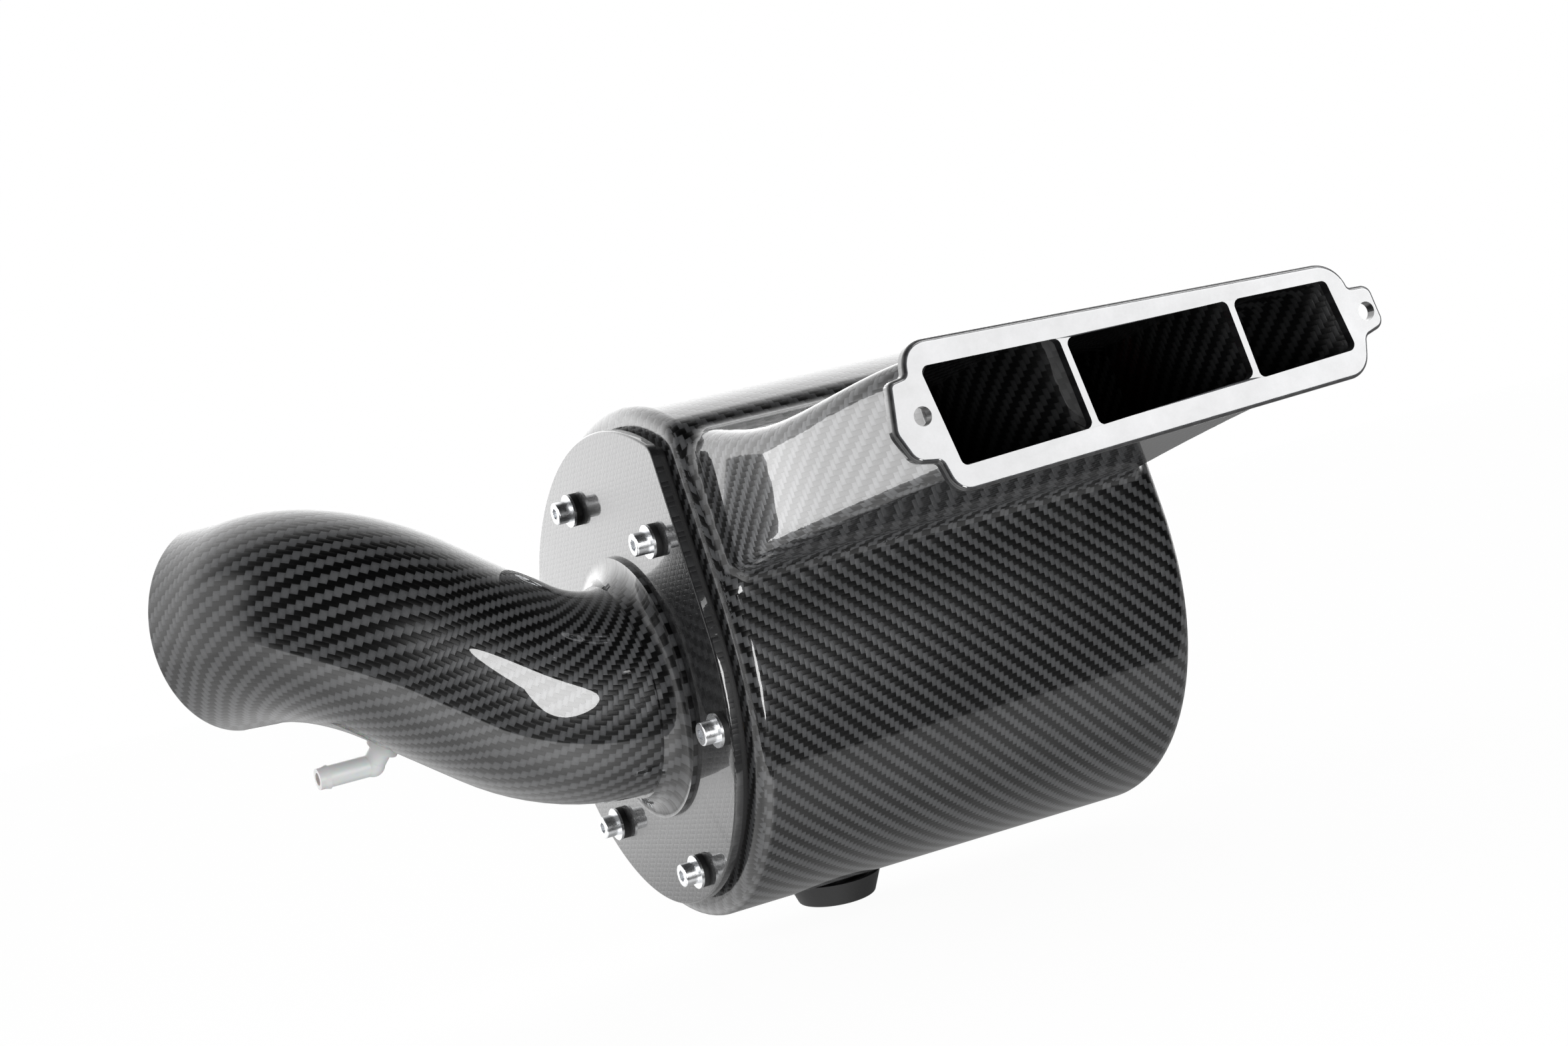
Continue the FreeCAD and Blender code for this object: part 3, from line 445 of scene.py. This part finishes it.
def smooth(mesh):
    """Joins the copy's loose triangles, and shades it smoothly except at its real edges."""
    work = bmesh.new()
    work.from_mesh(mesh)
    bmesh.ops.remove_doubles(work, verts=work.verts, dist=WELD_DISTANCE)
    work.to_mesh(mesh)
    work.free()
    for face in mesh.polygons:
        face.use_smooth = True
    mesh.set_sharp_from_angle(angle=math.radians(SHARP_DEGREES))


def inner_faces(mesh, low_y, high_y):
    """The duct's inner skin: the faces whose normals point at the duct's own middle line."""
    for face in mesh.polygons:
        near_flange = (high_y - face.center.y) / (high_y - low_y)
        middle_x = BOX_ORIGIN.x + (DUCT_MIDDLE_X + DUCT_SHIFT_X * near_flange) * MM
        middle_z = BOX_ORIGIN.z + (DUCT_MIDDLE_Z + DUCT_SHIFT_Z * near_flange) * MM
        out_x = face.center.x - middle_x
        out_z = face.center.z - middle_z
        if face.normal.x * out_x + face.normal.z * out_z < 0.0:
            yield face


def woven(node, mapping, material):
    """A copy of a CAD node with weave coordinates, which stands for it."""
    source = nodes[node]
    mesh = source.data.copy()
    smooth(mesh)
    piece = bpy.data.objects.new(f"{node}_woven", mesh)
    bpy.context.scene.collection.objects.link(piece)
    layer = mesh.uv_layers.new(name="weave")
    for face in mesh.polygons:
        middle_hint = mapping(face.center, face.normal, None)[2]
        for loop in face.loop_indices:
            corner = mesh.vertices[mesh.loops[loop].vertex_index].co
            across, along, _ = mapping(corner, face.normal, middle_hint)
            layer.data[loop].uv = (across / MM / TOW_MM, along / MM / TOW_MM)
    mesh.materials.clear()
    mesh.materials.append(material)
    if node.startswith("outlet_pipe"):
        round_the_pipe(mesh, PIPE_STATIONS)
    else:
        # Wide flat faces keep their own normals, and the bending is left to the edge rounds.
        weighted = piece.modifiers.new("weighted", "WEIGHTED_NORMAL")
        weighted.keep_sharp = True
        weighted.weight = FLAT_FACE_WEIGHT
    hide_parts(node)
    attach(piece, body_with(node))
    return piece


def paint(material, *names):
    for name in names:
        for mesh_slot in nodes[name].material_slots:
            mesh_slot.link = "OBJECT"
            mesh_slot.material = material


# ---------------------------------------------------------------- the object

# One carbon in copies with painted light and shade: lit on the pipe and barrel, dimmer on the duct, and
# painted dark as shade on the lid, the flange's body, the vanes and the duct's inner skin.
CLOTH_BARREL = carbon("carbon_barrel", bright=0.095, dark=0.001)
CLOTH_PIPE = carbon("carbon_pipe", bright=0.105, dark=0.001)
CLOTH_DUCT_SHADED = carbon("carbon_duct_painted_shade", bright=0.055, dark=0.003)
CLOTH_LID_SHADED = carbon("carbon_lid_painted_shade", bright=0.022, dark=0.012)
CLOTH_INSIDE_SHADED = carbon("carbon_inside_painted_shade", bright=0.02, dark=0.003)

PIPE_STATIONS = pipe_axis()
pipe_mapping = on_pipe(PIPE_STATIONS)
woven("housing_barrel", on_barrel, CLOTH_BARREL)
duct = woven("inlet_duct", on_barrel, CLOTH_DUCT_SHADED)
# The duct's inner skin takes the dark inside copy: painted shade inside the duct.
duct.data.materials.append(CLOTH_INSIDE_SHADED)
duct_low, duct_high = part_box("inlet_duct")
for face in inner_faces(duct.data, duct_low[1], duct_high[1]):
    face.material_index = 1
for name in ("outlet_pipe_lower", "outlet_pipe_middle", "outlet_pipe_upper", "pipe_collar"):
    woven(name, pipe_mapping, CLOTH_PIPE)
# The lid, the vanes and the flange's body take dark copies of the carbon: painted shade.
woven("lid_plate", on_lid, CLOTH_LID_SHADED)
for name in ("inlet_vane_1", "inlet_vane_2"):
    woven(name, on_lid, CLOTH_INSIDE_SHADED)
flange = woven("inlet_flange", on_flange, CLOTH_LID_SHADED)
flange.data.materials.append(sanded_face("flange_face"))
for face in flange.data.polygons:
    if face.normal.y < FLANGE_FACE_COSINE and face.center.y < FLANGE_FACE_DEPTH:
        face.material_index = 1

STEEL_NODES = ("lid_bolts", "steel_washers", "foot_screw", "foot_nut", "clamp_band",
               "clamp_housing", "clamp_screw")
paint(zinc_steel(), *STEEL_NODES)
paint(brass_insert(), "lid_inserts")
paint(rubber("black_rubber", (0.008, 0.008, 0.008), (0.02, 0.02, 0.021), 0.6),
      "rubber_washers", "lid_gasket", "rubber_foot")
paint(rubber("filter_rubber", (0.012, 0.012, 0.013), (0.03, 0.03, 0.032), 0.45),
      "filter_neck", "filter_cap")
paint(white_nylon(), "hose_barb", "barb_boss")
paint(filter_cotton(), "filter_media")


# ---------------------------------------------------------------- studio

def studio_floor():
    """A wide pale floor under the lowest point. Mirror reflections show the studio instead."""
    low, _ = start_bounds
    size = FLOOR_HALF_WIDTH
    mesh = bpy.data.meshes.new("floor")
    corners = [(-size, -size), (size, -size), (size, size), (-size, size)]
    mesh.from_pydata([(x, y, low.z - FLOOR_DROP) for x, y in corners], [], [(0, 1, 2, 3)])
    floor = bpy.data.objects.new("floor", mesh)
    bpy.context.scene.collection.objects.link(floor)
    graph = Graph("pale_floor")
    grain = graph.noise(graph.place(), 3.0)
    tone = graph.ramp(grain, (0.80, 0.80, 0.80), (0.84, 0.84, 0.84))
    # Mostly its own pale glow, so that it blends into the backdrop and takes only faint shadows.
    glow = graph.node("ShaderNodeEmission")
    glow.inputs["Color"].default_value = (1.0, 1.0, 1.0, 1.0)
    glow.inputs["Strength"].default_value = FLOOR_GLOW
    matt = graph.shader(Base_Color=tone, Roughness=0.95)
    mixed = graph.node("ShaderNodeMixShader")
    mixed.inputs[0].default_value = FLOOR_GLOW_SHARE
    graph.tree.links.new(matt.outputs[0], mixed.inputs[1])
    graph.tree.links.new(glow.outputs[0], mixed.inputs[2])
    mesh.materials.append(graph.finish(mixed.outputs[0]))
    floor.visible_glossy = False
    floor.visible_diffuse = False
    floor.visible_shadow = False


def studio_world():
    """The room that the gloss mirrors: a pale backdrop and table, and a dark front.

    The camera itself sees plain white.
    """
    world = bpy.data.worlds.new("studio")
    world.use_nodes = True
    tree = world.node_tree
    tree.nodes.clear()
    link = tree.links.new
    where = tree.nodes.new("ShaderNodeTexCoord")
    split = tree.nodes.new("ShaderNodeSeparateXYZ")
    link(where.outputs["Generated"], split.inputs[0])

    def step(value, low, high, from_value, to_value):
        """Eases from one level to the other as a direction goes from low to high."""
        made = tree.nodes.new("ShaderNodeMapRange")
        made.interpolation_type = "SMOOTHSTEP"
        link(value, made.inputs["Value"])
        made.inputs["From Min"].default_value = low
        made.inputs["From Max"].default_value = high
        made.inputs["To Min"].default_value = from_value
        made.inputs["To Max"].default_value = to_value
        return made.outputs[0]

    def combine(operation, first, second):
        made = tree.nodes.new("ShaderNodeMath")
        made.operation = operation
        for value, socket in zip((first, second), made.inputs):
            if isinstance(value, (int, float)):
                socket.default_value = value
            else:
                link(value, socket)
        return made.outputs[0]

    backdrop = step(split.outputs["Y"], -0.05, 0.6, 0.02, BACKDROP_GLOW)
    ceiling = step(split.outputs["Z"], 0.2, 0.95, 1.0, 0.45)
    # The table ends a little in front of the object, which leaves a crisp line in the coat.
    table_side = combine("SUBTRACT", combine("MULTIPLY", split.outputs["Y"], 0.81),
                         combine("MULTIPLY", split.outputs["Z"], 0.58))
    table = step(table_side, -0.012, 0.012, 0.0, 1.0)
    below = step(split.outputs["Z"], -0.25, 0.0, 1.0, 0.0)
    # The object's shadow on the table is painted into the room: the part right below and behind
    # it is darker, and the table is brightest on the left.
    across = step(split.outputs["X"], -0.1, 0.35, TABLE_GLOW_LEFT, TABLE_GLOW_RIGHT)
    glow = combine("MULTIPLY", step(split.outputs["Y"], -0.5, 0.2, 1.0, 0.4), across)
    table = combine("MULTIPLY", combine("MULTIPLY", table, below), glow)
    above = step(split.outputs["Z"], -0.17, 0.0, 0.0, 1.0)
    backdrop = combine("MULTIPLY", combine("MULTIPLY", backdrop, ceiling), above)
    # A pale wall at the far left.
    wall = combine("MULTIPLY", step(split.outputs["X"], -0.8, -0.6, WALL_GLOW, 0.0),
                   step(split.outputs["Y"], -0.35, -0.05, 0.0, 1.0))
    wall = combine("MULTIPLY", wall, step(split.outputs["Z"], -0.45, -0.25, 0.0, 1.0))
    light = combine("MAXIMUM", combine("MAXIMUM", backdrop, wall), table)

    # The room is a mirror image in the coat more than it is a lamp for the cloth under it.
    path = tree.nodes.new("ShaderNodeLightPath")
    cut = combine("MULTIPLY", path.outputs["Is Diffuse Ray"], CLOTH_LIGHT_CUT)
    lamp = combine("SUBTRACT", 1.0, cut)
    reflected = tree.nodes.new("ShaderNodeBackground")
    link(combine("MULTIPLY", light, lamp), reflected.inputs["Strength"])
    seen = tree.nodes.new("ShaderNodeBackground")
    seen.inputs["Color"].default_value = (1.0, 1.0, 1.0, 1.0)
    seen.inputs["Strength"].default_value = 1.0
    pick = tree.nodes.new("ShaderNodeMixShader")
    link(path.outputs["Is Camera Ray"], pick.inputs[0])
    link(reflected.outputs[0], pick.inputs[1])
    link(seen.outputs[0], pick.inputs[2])
    output = tree.nodes.new("ShaderNodeOutputWorld")
    link(pick.outputs[0], output.inputs["Surface"])
    bpy.context.scene.world = world


def softbox(name, target, direction, distance, width, height, radiance, roll=0.0, only=(),
            mirrored=True):
    """A soft round or oval light that faces a point of the object from a given direction.

    With only, it reaches those pieces and nothing else. Unmirrored, the gloss does not show it.
    """
    data = bpy.data.lights.new(name, "AREA")
    data.shape = "ELLIPSE"
    data.size = width
    data.size_y = height
    data.energy = radiance * math.pi * math.pi * width * height / 4
    light = bpy.data.objects.new(name, data)
    away = Vector(direction).normalized()
    light.location = target + away * distance
    light.rotation_mode = "QUATERNION"
    light.rotation_quaternion = away.to_track_quat("Z", "Y") @ Quaternion((0, 0, 1), math.radians(roll))
    light.visible_camera = False
    light.visible_glossy = mirrored
    if only:
        painted_sheen = bpy.data.collections.new(f"{name}_lights")
        for piece in only:
            painted_sheen.objects.link(piece)
        light.light_linking.receiver_collection = painted_sheen
    bpy.context.scene.collection.objects.link(light)


def camera():
    """The photo's viewpoint: low, from the front left, rolled with the leaning object."""
    data = bpy.data.cameras.new("camera")
    data.sensor_width = SENSOR_WIDTH
    data.lens = FOCAL_LENGTH
    data.clip_start = 0.01
    data.clip_end = 100.0
    viewpoint = bpy.data.objects.new("camera", data)
    forward = Vector(CAMERA_FORWARD).normalized()
    up = Vector(CAMERA_UP)
    up = (up - forward * up.dot(forward)).normalized()
    right = forward.cross(up)
    turn = Matrix((right, up, -forward)).transposed().to_4x4()
    turn.translation = CAMERA_PLACE
    viewpoint.matrix_world = turn
    bpy.context.scene.collection.objects.link(viewpoint)
    bpy.context.scene.camera = viewpoint


studio_floor()
studio_world()
PIPE_SPOT = BOX_ORIGIN + Vector((-61.0, -43.0, 13.0)) * MM
FLANGE_SPOT = Vector((0.0, 0.0, 0.0))
DUCT_SPOT = BOX_ORIGIN + Vector((28.0, -160.0, 62.0)) * MM
STEEL = [nodes[name] for name in STEEL_NODES]
softbox("front_octabox", PIPE_SPOT, direction=(0.135, -0.97, -0.2), distance=1.25,
        width=0.27, height=0.85, radiance=15.0, roll=-22.0)
softbox("front_fill", PIPE_SPOT, direction=(-0.5, -0.65, 0.55), distance=1.6,
        width=1.2, height=1.2, radiance=1.7, mirrored=False)
softbox("flange_light", FLANGE_SPOT, direction=(0.523, -0.677, 0.518), distance=1.3,
        width=1.5, height=1.5, radiance=8.5, only=[flange])
softbox("duct_light", DUCT_SPOT, direction=(-0.98, 0.1, -0.18), distance=1.0,
        width=1.5, height=0.9, radiance=6.5, only=[duct])
softbox("bolt_light", PIPE_SPOT, direction=(-0.75, -0.6, 0.3), distance=1.0,
        width=0.9, height=0.9, radiance=6.0, only=STEEL)
camera()
bpy.context.scene.view_settings.view_transform = "Standard"
